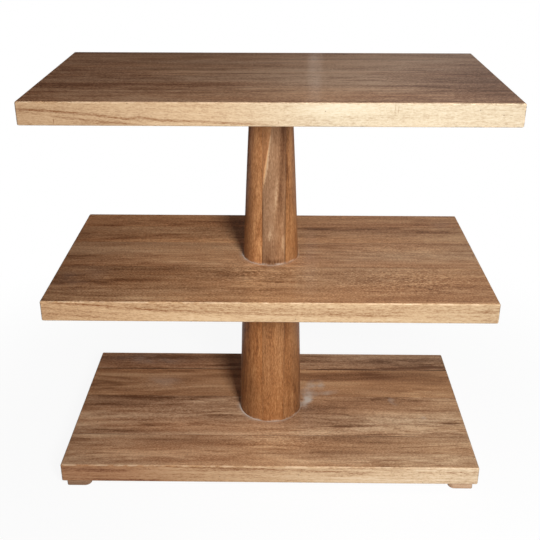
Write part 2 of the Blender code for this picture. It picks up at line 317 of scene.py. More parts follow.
def woodHeight(parts):
    return parts["fibre"] * 0.5 + parts["line"] * 0.3 - parts["pores"] * 0.5


def woodRoughness(parts, level):
    return level + parts["line"] * 0.10 + parts["fibre"] * 0.12 + parts["pores"] * 0.12


# Tiers: four boards each, glued edge to edge, with housings and holes cut in them

tiers = {
    "thickness": 0.032, "halfLength": 0.330, "halfDepth": 0.175,
    "ease": 0.0025, "easeSegments": 5,
    "glueLine": 0.00006, "glueEase": 0.00012,
    "cadGap": 0.0003, "overrun": 0.004,
    "housingSteps": 192, "housingGap": 0.00006, "housingDepth": 0.006,
    "holeGap": 0.0003, "holeEndGap": 0.0005,
    "pilotGap": -0.00195,  # from the screw's head radius to its pilot hole
    "rodHoleRadius": 0.0055,
    "recessRadius": 0.0175, "recessDepth": 0.0146, "recessSteps": 96,
}
tierWood = {"waviness": 0.035, "warmShare": 0.8, "warmTint": (1.05, 0.94, 0.84)}

# Graph.mark tells the marks' numbers. Face tints and edge colours: x and the colour there.
# Edge grain: weights of its streaks, dashes and flecks. Edge lines: points of x and z, half
# thickness, tone, tone of the wood just above.
# Edge colours are paler than the tops' wood partly as painted light, the brightness of lit front
# faces
topLook = {
    "colour": (0.395, 0.208, 0.117),
    "weights": (0.55, 0.7, 0.6, 0.7, 0.4, 0.6, 0.2, 1.9, -0.1),
    "layerStart": 0.0,
    "boardTones": (0.13, 0.14, 0.05, 0.0),
    "boardTints": ((1, 1, 1), (1, 1, 1), (1, 1, 1), (1.03, 1.01, 0.97)),
    "faceTints": (
        (-330, (1.01, 0.94, 0.9)), (-120, (1.02, 1.01, 1.01)),
        (90, (1.05, 1.05, 1.05)), (330, (1.05, 1.08, 1.13)),
    ),
    "edgeColours": (
        (-330, (0.548, 0.348, 0.194)), (-80, (0.532, 0.374, 0.225)),
        (80, (0.514, 0.424, 0.296)), (330, (0.452, 0.368, 0.256)),
    ),
    "edgeSlope": 0.055,
    "edgeGrain": (0.34, 0.6, 0.35),
    "seamTones": (0.1, 0.08, 0.16),
    "marks": (
        (-340, 20, 210, 240, -0.14), (345, -20, 150, 240, -0.38), (70, -30, 160, 170, 0.32),
        (-100, 17, 240, 14, 0.5), (0, -77, 340, 9, -0.13), (-200, 73, 160, 14, -0.27),
        (-200, -104, 150, 14, 0.12), (-180, -160, 160, 16, 0.12), (215, -75, 130, 11, -0.46),
        (215, -104, 130, 18, 0.08), (200, 65, 170, 100, 0.11), (290, -110, 90, 60, -0.08),
        (-205, -15, 84, 6, -0.26, 0.5), (-20, 5, 80, 4, -0.24, 2.5),
        (-190, -67, 130, 9, -0.22, 1), (-20, -68, 60, 4, -0.2, 1), (-230, -84, 60, 3, -0.2),
        (-265, -90, 60, 2.5, -0.24), (275, -85, 60, 2.5, -0.26), (108, -22, 34, 6, -0.2),
        (115, -66, 24, 4, -0.12), (240, 101, 90, 8, 0.26, 3.5), (300, -10, 34, 10, -0.12),
        (-292, -118, 30, 12, -0.2), (-85, 30, 36, 4, -0.12), (-110, -32, 24, 5, 0.14),
        (67, 47, 28, 3, -0.1), (-130, 100, 60, 26, 0.06),
    ),
    "shimmer": (),
    "haze": (),
    "edgeMarks": (
        (-232, 593, 52, 3.6, -0.16), (-306, 610, 34, 6, -0.14, -3), (-100, 617, 60, 3, -0.1),
        # (90, 613) is a painted highlight on the front face
        (-281, 596, 0.8, 6, -0.4), (90, 613, 70, 9, 0.2), (40, 596, 110, 5, -0.06),
        (161.5, 614, 0.6, 8, -0.26), (166, 614, 0.6, 8, -0.26), (11, 596, 0.6, 3.5, -0.3),
    ),
    "edgeLines": (
        (
            (-330, 612.3), (-288, 610), (-247, 606.2), (-211, 603), (-186, 599.8),
            (-170, 601.8), (-142, 598), (-90, 597), (-30, 593.5), (10, 592.5),
            1.5, -0.24, -0.03,
        ),
        ((-282, 602.6), (-236, 597.8), (-197, 594.4), (-165, 591.7), 1.3, -0.2, -0.06),
    ),
}
middleLook = {
    "colour": (0.43, 0.234, 0.125),
    "weights": (0.6, 0.45, 0.32, 0.58, 0.4, 0.36, 0.12, 1.35, -0.1),
    "layerStart": 3.3,
    "boardTones": (0.02, 0.02, 0.05, 0.0),
    "boardTints": ((1.08, 0.95, 0.82), (1, 0.93, 0.84), (1, 1, 0.98), (1, 0.98, 0.92)),
    "faceTints": (
        (-330, (1.03, 1.0, 0.99)), (-20, (1.1, 1.11, 1.09)),
        (140, (1.0, 1.0, 0.99)), (330, (0.94, 0.94, 0.93)),
    ),
    "edgeColours": (
        (-330, (0.633, 0.386, 0.204)), (-100, (0.584, 0.388, 0.217)),
        (60, (0.506, 0.34, 0.193)), (330, (0.416, 0.284, 0.164)),
    ),
    "edgeSlope": 0.05,
    "edgeGrain": (0.5, 0.95, 0.5),
    "seamTones": (0.1, 0.2, 0.2),
    "marks": (
        (-340, 0, 190, 240, -0.12), (-215, 108, 130, 26, 0.1), (-210, 46, 140, 14, 0.18),
        (-215, -60, 140, 34, -0.21), (-210, -160, 170, 14, 0.16), (205, 8, 160, 34, 0.16),
        (215, 15, 150, 12, -0.13), (215, -15, 150, 12, 0.08), (215, -130, 150, 46, -0.08),
        (210, 90, 150, 30, -0.11), (215, -102, 150, 22, -0.1), (-210, -138, 170, 20, 0.12),
        (-215, -102, 150, 12, -0.12), (82, 109, 38, 8, -0.42), (170, 109, 36, 5, -0.24),
        (210, 110, 14, 8, -0.28), (258, 127, 30, 3, -0.34), (275, 97, 58, 9, -0.26, -3),
        (85, 76, 22, 7, -0.26), (-277, 121, 48, 5, -0.3), (-175, 80, 54, 8, -0.28),
        (-262, 59, 38, 3, -0.22), (-315, 84, 24, 8, -0.18), (215, -50, 125, 1.8, -0.26),
        (220, -60, 120, 5, 0.16), (250, -165, 90, 2.5, -0.2), (17, -106, 12, 3.5, -0.55, 12),
        (-205, -98, 44, 12, -0.16), (-225, -117, 40, 2, -0.32), (-315, -100, 50, 36, -0.16),
        (128, -24, 34, 3, 0.22), (30, -80, 66, 26, 0.08),
    ),
    "shimmer": (
        (205, -95, 160, 66, 2.6), (-10, -80, 110, 50, 2.0), (215, 20, 130, 50, 1.6),
        (-220, 40, 130, 90, 0.4),
    ),
    "haze": ((-290, -100, 70, 60, 0.1), (300, 130, 40, 25, 0.1)),
    "edgeMarks": (
        (-262, 328.5, 34, 2.2, -0.18, 3), (186, 320, 14, 2, -0.2), (312, 321, 26, 4.5, -0.16),
        (-130, 327, 120, 4, -0.06), (-318, 309, 22, 5, -0.14), (230, 308, 110, 5, 0.1),
        (-40, 307, 220, 6, 0.12), (192, 327, 26, 5, -0.17),
    ),
    "edgeLines": (
        (
            (-322, 331), (-261, 328), (-201, 322.6), (-155, 320), (-101, 317.7),
            (-51, 316.3), (0, 314.2), (95, 313.3), (200, 313.3),
            1.8, -0.15, -0.12,
        ),
        ((-330, 314.7), (-278, 311), (-230, 307.8), (-185, 306.4), 1.4, -0.17, -0.05),
    ),
}
baseLook = {
    "colour": (0.45, 0.256, 0.141),
    "weights": (0.6, 1.15, 0.25, 0.62, 0.5, 0.26, 0.1, 1.05, -0.2),
    "layerStart": 7.1,
    "boardTones": (-0.06, -0.08, 0.0, 0.02),
    "boardTints": ((0.98, 0.97, 0.99), (1, 0.92, 0.82), (1, 0.99, 0.98), (1, 0.99, 0.97)),
    "faceTints": (
        (-330, (0.94, 0.9, 0.9)), (-150, (0.94, 0.9, 0.9)),
        (0, (1.03, 1.05, 1.06)), (330, (1.0, 1.04, 1.05)),
    ),
    "edgeColours": (
        (-330, (0.415, 0.2, 0.094)), (-235, (0.405, 0.197, 0.091)),
        (-120, (0.49, 0.285, 0.147)), (60, (0.55, 0.358, 0.203)),
        (330, (0.643, 0.474, 0.304)),
    ),
    "edgeSlope": 0.008,
    "edgeGrain": (1.3, 1.1, 0.6),
    "seamTones": (0.6, 0.08, 0.25),
    "marks": (
        (-200, 148, 170, 34, -0.34), (215, 148, 150, 30, 0.2), (-215, -5, 180, 100, -0.12),
        (215, 60, 170, 90, -0.11), (-215, 98, 150, 15, 0.24), (-215, -76, 150, 14, -0.12),
        (215, -112, 150, 24, 0.08), (-215, 16, 140, 13, -0.26), (-215, -32, 160, 32, -0.15),
        (-215, -110, 160, 26, -0.06), (-215, -162, 160, 14, -0.18), (215, 92, 150, 22, -0.13),
        (205, 15, 120, 10, -0.2), (215, -15, 140, 14, 0.14), (215, -44, 160, 30, 0.12),
        (215, -77, 150, 14, 0.08), (215, -150, 160, 26, 0.1), (10, -105, 120, 60, 0.1),
        (-182, -105, 64, 4, -0.26), (10, -102, 60, 2.2, 0.26, 1), (-15, -124, 36, 4, 0.22, 2),
        (170, -150, 32, 3, 0.3, 3), (-90, -136, 30, 3, -0.24), (-270, -128, 60, 2.5, 0.2),
        (90, -160, 120, 3, 0.16), (125, 117, 84, 2.6, -0.85, 1), (270, 125, 70, 4, -0.55, 3),
        (-240, 117, 90, 3, -0.36), (-250, 20, 96, 7, -0.28, -1), (-150, 19, 70, 4, -0.2, -1),
        (-300, -5, 40, 5, -0.26), (-202, -64, 46, 7, -0.42), (-90, -36, 34, 5, -0.36),
        (305, -55, 34, 3, -0.5), (118, -67, 22, 6, -0.36), (190, -88, 146, 2.2, -0.34, 2.4),
        (220, -72, 120, 7, 0.22), (60, -84, 112, 4, 0.2), (250, -121, 86, 2.5, -0.34, 5),
        (-70, -108, 24, 3, -0.24), (-182, -135, 26, 3, -0.3), (0, -142, 56, 4, -0.22),
        (-310, -112, 34, 4, -0.24), (-240, -20, 60, 5, 0.2, 4), (-120, 8, 50, 4, 0.22, 5),
        (10, -112, 90, 16, 0.14), (250, -150, 110, 20, 0.1), (205, 85, 60, 16, -0.14),
    ),
    "shimmer": (
        (-180, -35, 130, 50, 1.2), (20, -100, 150, 50, 1.2), (220, -60, 120, 60, 1.0),
        (-200, 60, 130, 40, 0.6),
    ),
    "haze": (
        (74, 50, 19, 36, 1.3, -20), (62, 12, 10, 30, 1.3, -12), (100, 36, 26, 9, 0.6, 15),
        (220, 10, 8, 17, 0.8, 10), (264, -39, 5, 7, 0.45), (-200, 70, 44, 30, 0.22),
        (-230, 150, 110, 26, 0.22),
    ),
    "edgeMarks": (
        (-255, 34.7, 50, 3, -0.3), (-130, 36, 60, 2.4, -0.2), (-60, 37.5, 40, 2.8, -0.26),
        (-218, 16, 70, 2.2, -0.34), (-250, 26, 80, 3, 0.12), (12, 35.5, 20, 3.6, -0.2),
        (198, 39, 40, 1.8, -0.24), (190, 22, 190, 9, 0.18), (60, 29, 70, 3, 0.14, -2),
        (210, 33, 60, 1.6, -0.14), (0, 40, 340, 5, -0.12), (-10, 18, 250, 7, 0.1),
        (97, 37, 40, 2.6, -0.22, -2), (-20, 33, 44, 2.4, -0.2, 3), (60, 42, 60, 1.8, 0.2),
        (-122, 24, 44, 3, -0.26), (-155, 40, 36, 3, 0.2), (10, 27, 50, 4, 0.18, 5),
        (130, 31, 44, 4, -0.24, -3), (155, 22, 24, 4, 0.24, 6), (245, 21, 20, 2.5, -0.24),
        (245, 38, 50, 3, 0.14), (40, 16, 60, 2.5, -0.16), (-305, 22, 30, 5, 0.14),
    ),
    "edgeLines": (),
}
tierLooks = {"top_tier": topLook, "middle_tier": middleLook, "base_tier": baseLook}

boardNames = ("back_board", "rear_centre_board", "front_centre_board", "front_board")
# Each board's grain: shift, turn, and how far behind and above the middle its pith lies
boardLooks = (
    ((1.31, 0.42, 0.17), 0.8, (0.11, -0.07)),
    ((3.72, 1.13, 0.63), -0.6, (-0.06, -0.08)),
    ((6.05, 2.31, 1.29), 0.5, (0.10, 0.09)),
    ((8.47, 3.27, 1.81), -0.4, (-0.04, -0.10)),
)
boardWear = {
    "endGrain": (0.70, 0.64, 0.60),
    # arris: colour of the rubbed arrises and of their painted highlight
    "arris": (0.80, 0.60, 0.40),
    "arrisMargin": 0.0032,
    "glue": (0.05, 0.026, 0.016),
    "pores": (0.06, 0.032, 0.02),
    "specks": (0.060, 0.032, 0.018),
    "specksPerMetre": (60.0, 150.0),  # on the broad faces, on the edges
    "markReach": 0.06,
    "edgeMarkReach": 0.004,
}


def pushOut(value, level):
    # How far outside a slab of this half width
    return abs(value) - level


def edgeLine(graph, x, z, bottom, line):
    # A growth line on the front edge
    *points, halfThick, tone, toneAbove = line
    length, thickness = tiers["halfLength"] * 2, tiers["thickness"]
    stops = [
        ((pointX / 1000) / length + 0.5, ((pointZ / 1000 - bottom) / thickness,) * 3)
        for pointX, pointZ in points
    ]
    centre = graph.ramp(x * (1 / length) + 0.5, stops)
    wobble = graph.noise(graph.join(x, 0.0, 0.0), (90.0, 1.0, 1.0)) - 0.5
    above = z - bottom - centre * thickness - wobble * 0.0016
    start, end = points[0][0] / 1000, points[-1][0] / 1000
    ends = graph.fade(x, start - 0.010, start + 0.008) * graph.fade(x, end + 0.012, end - 0.030)
    core = graph.fade(abs(above), halfThick / 1000 * 1.5, halfThick / 1000 * 0.5)
    shade = graph.fade(above, -0.0004, 0.0010) * graph.fade(above, 0.020, 0.006)
    return (core * tone + shade * toneAbove) * ends


# Pale filler round the column's foot, and hazy smears on the finish
def footFiller(graph, place, moved, look, footRadius, centreZ):
    x, y, z = graph.split(place)
    radius = graph.length(graph.join(x, y, 0.0))
    upper = graph.fade(z, centreZ, centreZ + tiers["thickness"] / 2 * 0.8)
    patchy = graph.noise(place, (34.0, 34.0, 20.0), 3.0)
    bead = graph.fade(radius, footRadius + 0.0034, footRadius + 0.0010)
    smear = graph.fade(radius, footRadius + 0.010, footRadius)
    facing = graph.fade(x * -0.8 - y * 0.6, -0.015, 0.045)  # most of it front left
    filler = bead * graph.fade(patchy, 0.28, 0.52) * (0.24 + facing * 0.50)
    filler = (filler + smear * graph.fade(patchy, 0.34, 0.62) * facing * 0.42) * upper
    for haze in look["haze"]:
        mask = graph.mark(moved, haze, centreZ, boardWear["markReach"]) * upper
        filler = filler + mask * graph.fade(patchy, 0.25, 0.75) * haze[4]
    return graph.within(filler)


def boardMaterial(name, tierName, index, low, high, footRadius):
    look = {**tierWood, **tierLooks[tierName]}
    look["colour"] = tinted(look["colour"], look["boardTints"][index])
    look["shift"], turn, (pithBehind, pithAbove) = boardLooks[index]
    turn = math.radians(turn)
    halfLength, halfDepth = tiers["halfLength"], tiers["halfDepth"]
    centreY, centreZ = (low.y + high.y) / 2, (low.z + high.z) / 2
    pith = Vector((0.0, centreY + pithBehind, centreZ + pithAbove))
    pith = Matrix.Rotation(turn, 3, "Z") @ pith + Vector(look["shift"])
    look["turn"], look["pith"] = (0.0, 0.0, turn), (pith.y, pith.z)
    look["layerStart"] += index * 0.9
    material, graph, place = startMaterial(name)
    fade, blend, noise = graph.fade, graph.blend, graph.noise
    parts = woodTone(graph, place, look)
    tone = parts["tone"] + look["boardTones"][index]

    # Streaks and patches, bent and torn into strands
    strand = 0.80 + parts["fibre"] * 0.9 + parts["line"] * 0.6
    sway = noise(place, (16.0, 30.0, 30.0)) - 0.5
    drift = graph.join(sway * 0.030, sway * 0.008, 0.0)
    moved = graph.node("VectorMath", {"operation": "ADD"}, {0: place, 1: drift})
    sparkle = noise(place, (210.0, 430.0, 430.0), 2.0, 0.6) - 0.49
    sparkle = graph.within(sparkle, -0.05, 0.4)
    for marks, weight in ((look["marks"], strand), (look["shimmer"], sparkle)):
        for mark in marks:
            markY, reach = mark[1] / 1000, mark[3] / 1000 + 0.004
            if markY + reach > low.y and markY - reach < high.y:
                mask = graph.mark(moved, mark, centreZ, boardWear["markReach"])
                tone = tone + mask * weight * mark[4]
    parts["tone"] = tone
    x, y, z = graph.split(place)
    perMetre = 0.5 / halfLength

    def alongBoard(name):
        stops = [(at / 1000 * perMetre + 0.5, hue) for at, hue in look[name]]
        return graph.ramp(x * perMetre + 0.5, stops)

    colour = woodColour(graph, parts, look)
    colour = blend(1.0, colour, alongBoard("faceTints"), "MULTIPLY")

    # Long edges: paler side grain that runs with the growth lines, and partly painted light that
    # makes them lighter than the tops
    edgePlace = graph.join(x, y, z + graph.smallest(x, 0.0) * look["edgeSlope"])
    edgeStreak = noise(edgePlace, (8.0, 8.0, 300.0), 3.0, 0.6) - 0.5
    edgeDash = noise(edgePlace, (110.0, 110.0, 800.0), 2.0, 0.65) - 0.5
    streakShare, dashShare, fleckShare = look["edgeGrain"]
    edgeTone = 0.42 + tone * 0.12 + edgeStreak * streakShare
    edgeTone = edgeTone + edgeDash * dashShare + parts["fleck"] * fleckShare
    if index == len(boardNames) - 1:
        for mark in look["edgeMarks"]:
            mask = graph.mark(place, mark, -halfDepth, boardWear["edgeMarkReach"], upright=True)
            edgeTone = edgeTone + mask * strand * mark[4]
        for line in look["edgeLines"]:
            edgeTone = edgeTone + edgeLine(graph, x, z, low.z, line)
    longEdge = fade(pushOut(y, halfDepth), -0.0024, -0.0004)
    shades = [(0.0, (0.38, 0.22, 0.12)), (0.5, (1.0, 1.0, 1.0)), (0.9, (1.19, 1.31, 1.45))]
    edgeShade = graph.ramp(edgeTone, shades)
    edgeColour = blend(1.0, alongBoard("edgeColours"), edgeShade, "MULTIPLY")
    colour = blend(longEdge, colour, edgeColour)

    # End grain drinks more finish and goes darker
    endGrain = fade(pushOut(x, halfLength), -0.0024, -0.0004)
    colour = blend(endGrain, colour, boardWear["endGrain"], "MULTIPLY")

    # Arrises rubbed paler, with a painted highlight along them as well
    margin = boardWear["arrisMargin"]
    nearX, nearY = pushOut(x, halfLength - margin), pushOut(y, halfDepth - margin)
    nearZ = pushOut(z - centreZ, tiers["thickness"] / 2 - margin)
    pairs = (nearX, nearZ), (nearY, nearZ), (nearX, nearY)
    arris = graph.largest(*[graph.smallest(*pair) for pair in pairs])
    rubbing = noise(place, (60.0, 60.0, 120.0), 3.0, 0.65)
    wearAndHighlight = fade(arris, 0.0004, 0.0026) * fade(rubbing, 0.40, 0.60)
    colour = blend(wearAndHighlight * 0.55, colour, boardWear["arris"])

    # Glue lines, some hairline and some dark
    seamShade = 0.0
    for seamIndex, seamY in ((index - 1, high.y), (index, low.y)):
        if 0 <= seamIndex < len(look["seamTones"]):
            near = fade(abs(y - seamY), 0.0016, 0.0002)
            seamShade = near * look["seamTones"][seamIndex] * 2.2 + seamShade
    runs = fade(noise(place, (9.0, 1.0, 1.0), 3.0), 0.32, 0.6)
    colour = blend(seamShade * runs, colour, boardWear["glue"])

    filler = None
    if footRadius:
        filler = footFiller(graph, place, moved, look, footRadius, centreZ)
        colour = blend(filler, colour, fillerColour)

    # Pores, and pin specks that are finer on the edges
    colour = blend(parts["pores"] * (0.35 - longEdge * 0.25), colour, boardWear["pores"])
    faceSpecks, edgeSpecks = [
        graph.node("TexVoronoi", {"feature": "F1"}, {"Vector": place, "Scale": scale}, "Distance")
        for scale in boardWear["specksPerMetre"]
    ]
    edgeSpeck = fade(edgeSpecks, 0.080, 0.050) * longEdge
    speck = graph.largest(fade(faceSpecks, 0.050, 0.034), edgeSpeck * 0.5)
    colour = blend(speck * 0.75, colour, boardWear["specks"])

    # The lacquer is thin on the arrises and dull over filler
    roughness = woodRoughness(parts, 0.46) + speck * 0.1
    height = woodHeight(parts) - speck * 1.2
    coat = tierSurface["coat"] * (1.0 + parts["fleck"] + parts["line"] * 0.6)
    coat = coat * fade(arris, 0.0016, -0.0006)
    if filler:
        roughness = roughness + filler * 0.2
        height = height + filler * 0.3
        coat = coat * (1.0 - filler)
    graph.finish(colour, roughness, height, tierSurface, coat=graph.within(coat))
    return material


# Shapes and pieces


def arrange(bm, centre, size=(1.0, 1.0, 1.0), angle=0.0, axis="Z"):
    turn = Matrix.Rotation(angle, 3, axis)
    bmesh.ops.scale(bm, vec=size, verts=bm.verts)
    bmesh.ops.rotate(bm, cent=(0.0, 0.0, 0.0), matrix=turn, verts=bm.verts)
    bmesh.ops.translate(bm, vec=centre, verts=bm.verts)


def block(size, centre):
    bm = bmesh.new()
    bmesh.ops.create_cube(bm, size=1.0)
    arrange(bm, centre, size)
    return bm


# An outline of radii and heights turned about z, closed in a ring or from axis to axis
def turned(outline, steps, ring=False):
    bm = bmesh.new()
    points = [bm.verts.new((radius, 0.0, height)) for radius, height in outline]
    pairs = list(zip(points, points[1:] + points[:1]))
    edges = [bm.edges.new(pair) for pair in (pairs if ring else pairs[:-1])]
    still, upwards = (0.0, 0.0, 0.0), (0.0, 0.0, 1.0)
    bmesh.ops.spin(
        bm, geom=points + edges, cent=still, axis=upwards, dvec=still, angle=math.tau,
        steps=steps, use_merge=True,
    )
    bmesh.ops.remove_doubles(bm, verts=bm.verts, dist=0.000001)
    bmesh.ops.recalc_face_normals(bm, faces=bm.faces)
    return bm


def bevel(bm, edges, offset, segments=1):
    bmesh.ops.bevel(
        bm, geom=edges, offset=offset, offset_type="OFFSET", segments=segments, profile=0.5,
        affect="EDGES", material=-1, clamp_overlap=True,
    )


def rimEdges(faces):
    return list(dict.fromkeys(edge for face in faces for edge in face.edges))


def linkMesh(name, bm, material=None):
    mesh = bpy.data.meshes.new(name)
    bm.to_mesh(mesh)
    bm.free()
    if material:
        mesh.materials.append(material)
    return link(name, mesh)


def addPiece(name, bm, material, slotName, *replaced):
    bmesh.ops.recalc_face_normals(bm, faces=bm.faces)
    piece = linkMesh(name, bm, material)
    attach(piece, "root")
    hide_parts(*replaced)
    return piece


def smoothPiece(piece, angle, evenWeight=None):
    piece.data.shade_smooth()
    piece.data.set_sharp_from_angle(angle=math.radians(angle))
    if evenWeight:
        weighted = piece.modifiers.new("evenShading", "WEIGHTED_NORMAL")
        weighted.keep_sharp = True
        weighted.weight = evenWeight


# Boolean cuts


def roundCutter(radius, low, high, x=0.0, y=0.0, steps=48):
    bm = bmesh.new()
    shape = {"radius1": radius, "radius2": radius, "depth": high - low}
    bmesh.ops.create_cone(bm, cap_ends=True, segments=steps, **shape)
    arrange(bm, (x, y, (low + high) / 2))
    return linkMesh("cutter", bm)


def holeFor(nodeName, gap, endGap):
    low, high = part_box(nodeName)
    centre = (low + high) / 2
    radius = (high.x - low.x) / 2 + gap
    return roundCutter(radius, low.z - endGap, high.z + endGap, centre.x, centre.y)


def applyCuts(piece, cutters):
    for cutter in cutters:
        boolean = piece.modifiers.new("cut", "BOOLEAN")
        boolean.operation = "DIFFERENCE"
        boolean.solver = "EXACT"
        boolean.object = cutter
    evaluated = piece.evaluated_get(bpy.context.evaluated_depsgraph_get())
    cut = bpy.data.meshes.new_from_object(evaluated)
    cut.name = piece.name
    piece.modifiers.clear()
    piece.data = cut


def meets(cutter, low, high):
    # Boxes overlap
    for axis in range(3):
        values = [vertex.co[axis] for vertex in cutter.data.vertices]
        if max(values) <= low[axis] or min(values) >= high[axis]:
            return False
    return True


def removeCutters(cutters):
    for cutter in cutters:
        mesh = cutter.data
        bpy.data.objects.remove(cutter)
        bpy.data.meshes.remove(mesh)


def makeBoard(tierName, index, cutters, footRadius):
    nodeName = f"{tierName}_{boardNames[index]}"
    low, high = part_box(nodeName)
    growth = (tiers["cadGap"] - tiers["glueLine"]) / 2
    backmost, frontmost = index == 0, index == len(boardNames) - 1
    if not backmost:
        high.y += growth
    if not frontmost:
        low.y -= growth
    bm = block(high - low, (low + high) / 2)

    def gluedFaces(upright):
        bm.normal_update()
        backs = [face for face in bm.faces if face.normal.y > upright and not backmost]
        return backs + [face for face in bm.faces if face.normal.y < -upright and not frontmost]

    closed = set(rimEdges(gluedFaces(0.5)))
    openEdges = [edge for edge in bm.edges if edge not in closed]
    bevel(bm, openEdges, tiers["ease"], tiers["easeSegments"])
    big = [face for face in gluedFaces(0.999) if face.calc_area() > 0.001]
    bevel(bm, rimEdges(big), tiers["glueEase"])
    material = boardMaterial(f"{nodeName}_wood", tierName, index, low, high, footRadius)
    piece = addPiece(f"{nodeName}_wood", bm, material, f"{tierName}_wood", nodeName)
    applyCuts(piece, [cutter for cutter in cutters if meets(cutter, low, high)])
    smoothPiece(piece, 35, 100)


# Column: turned from three staves, in two sections

column = {
    "topRadius": 0.0317, "waistRadius": 0.0438, "footRadius": 0.0522,
    "bay": 0.2565, "pitch": 0.2885,
    "topUnderside": 0.590,
    "endEase": 0.001, "boreRadius": 0.0055,
    "stations": 28, "steps": 192,
    "leftSeam": -0.0125, "rightSeam": 0.0225,
    "glueLine": 0.00008, "glueEase": 0.00018,
}


def columnRadius(z):
    # A parabola through the radii under the top tier, on the middle and on the base
    drop = column["topUnderside"] - z
    waistDrop = column["bay"]
    footDrop = column["bay"] + column["pitch"]
    top = column["topRadius"] * (drop - waistDrop) * (drop - footDrop)
    waist = column["waistRadius"] * drop * (drop - footDrop)
    foot = column["footRadius"] * drop * (drop - waistDrop)
    return (
        top / (waistDrop * footDrop)
        + waist / (waistDrop * (waistDrop - footDrop))
        + foot / (footDrop * (footDrop - waistDrop))
    )


columnWood = {
    "weights": (0.0, 0.30, 0.20, 0.30, 0.45, 0.35, 0.2, 1.0, -0.1),
    "patterns": {"fleck": (180.0, 620.0, 2.0, 0.7)},
    "turn": (0.0, math.pi / 2, 0.0), "waviness": 0.012,
    "warmShare": 0.8, "warmTint": (1.05, 0.92, 0.78),
    "slantTint": (1.24, 1.04, 0.82),
    "seam": (0.08, 0.035, 0.016), "upperSeam": 0.72, "lowerSeam": 0.35,
    # corner: colour of the painted shadow under each tier
    "corner": (0.05, 0.024, 0.012),
    "markDepth": -0.035, "markReach": 0.05,
}

staveLooks = {
    "upper_column_left_stave": {
        "colour": (0.368, 0.163, 0.064), "shift": (0.7, 0.31, 0.62), "pith": (0.62, 0.7),
        "marks": (
            # The first mark is painted shade down the column's left side
            (-38, 460, 15, 170, -0.12), (-18, 455, 6, 80, 0.12, -2), (-18, 366, 6, 16, 0.18),
            (-25, 385, 8, 50, 0.14),
        ),
    },
    "upper_column_centre_stave": {
        "colour": (0.254, 0.138, 0.073), "shift": (2.9, 1.12, 1.35), "pith": (1.55, 1.1),
        "weights": (0.0, 0.3, 0.2, 0.3, 0.2, 0.35, 0.2, 0.7, -0.1),
        "marks": (
            (-5.5, 500, 2.3, 46, 0.8, 8), (-7, 489, 3.6, 26, 0.6, 8), (9, 450, 4, 40, 0.34, 5),
            (-2, 381, 6, 10, 0.3), (19, 368, 3.5, 16, 0.34), (6, 338, 20, 6, -0.26),
            (19, 545, 7, 75, -0.42), (15, 460, 7, 60, -0.26), (2, 360, 11, 26, -0.16),
        ),
    },
    "upper_column_right_stave": {
        "colour": (0.29, 0.136, 0.055), "shift": (5.1, 2.05, 2.21), "pith": (1.85, 2.6),
        "marks": ((24, 500, 4, 90, -0.3), (30, 540, 5, 50, 0.16), (36, 400, 8, 40, 0.14)),
    },
    "lower_column_left_stave": {
        "colour": (0.322, 0.14, 0.053), "shift": (7.3, 3.21, 3.04), "pith": (3.5, 2.8),
        # The second mark is painted shade down the column's left side
        "marks": ((-22, 200, 4, 60, -0.1), (-44, 200, 13, 120, -0.18)),
    },
    "lower_column_centre_stave": {
        "colour": (0.305, 0.139, 0.056), "shift": (9.6, 4.07, 4.15), "pith": (3.75, 4.42),
        "marks": ((4, 150, 14, 60, 0.08), (-8, 250, 3, 40, -0.14), (17, 255, 8, 44, -0.18)),
    },
    "lower_column_right_stave": {
        "colour": (0.27, 0.124, 0.051), "shift": (11.9, 5.3, 5.2), "pith": (5.6, 4.9),
        "marks": ((24, 240, 3, 60, -0.16), (38, 250, 10, 40, -0.1)),
    },
}


def staveMaterial(name, sectionLow, sectionHigh):
    look = {**columnWood, **staveLooks[name]}
    look["layerStart"] = look["shift"][0]
    seamShare = look["upperSeam"] if name.startswith("upper") else look["lowerSeam"]
    material, graph, place = startMaterial(f"{name}_wood")
    fade, blend, noise = graph.fade, graph.blend, graph.noise
    parts = woodTone(graph, place, look)
    speckle = 0.8 + (noise(place, (620.0, 620.0, 230.0), 2.0, 0.6) - 0.5) * 4.0
    for mark in look["marks"]:
        mask = graph.mark(place, mark, look["markDepth"], look["markReach"], upright=True)
        if mark[4] > 0.2:  # pale figure breaks up into specks
            mask = mask * graph.within(speckle, 0.0, 2.0)
        parts["tone"] = parts["tone"] + mask * mark[4]
    colour = woodColour(graph, parts, look)
    x, _, z = graph.split(place)
    if name == "upper_column_centre_stave":
        # Warmer left of a slanting growth line
        slant = x + 0.0115 - graph.largest(z - 0.455, 0.0) * 0.125
        warm = fade(slant, 0.0014, -0.0012) * fade(z, 0.44, 0.48)
        colour = blend(warm, colour, look["slantTint"], "MULTIPLY")

    # Dark glue lines, the left one faint high up
    left = fade(abs(x - column["leftSeam"]), 0.0018, 0.0003)
    left = left * (1.0 - fade(z, 0.44, 0.48) * 0.6)
    right = fade(abs(x - column["rightSeam"]), 0.0022, 0.0003) * 0.8
    runs = fade(noise(place, (2.0, 2.0, 14.0), 3.0), 0.30, 0.55)
    seam = graph.largest(left, right) * runs
    colour = blend(seam * seamShare, colour, look["seam"])

    # Painted shadow in the corner under each tier
    corner = fade(z, sectionHigh - 0.0035, sectionHigh - 0.0008)
    colour = blend(corner * 0.7, colour, look["corner"])

    # Traces of filler at the foot
    patchy = noise(place, 60.0, 3.0, 0.6)
    floor = sectionLow + tiers["housingDepth"]
    filler = fade(z, floor + 0.0030, floor + 0.0004) * fade(patchy, 0.42, 0.66)
    colour = blend(filler * 0.4, colour, fillerColour)

    colour = blend(parts["pores"] * 0.4, colour, plainPores)
    roughness = woodRoughness(parts, 0.44) + filler * 0.2
    graph.finish(colour, roughness, woodHeight(parts) + filler * 0.6, woodSurface)
    return material


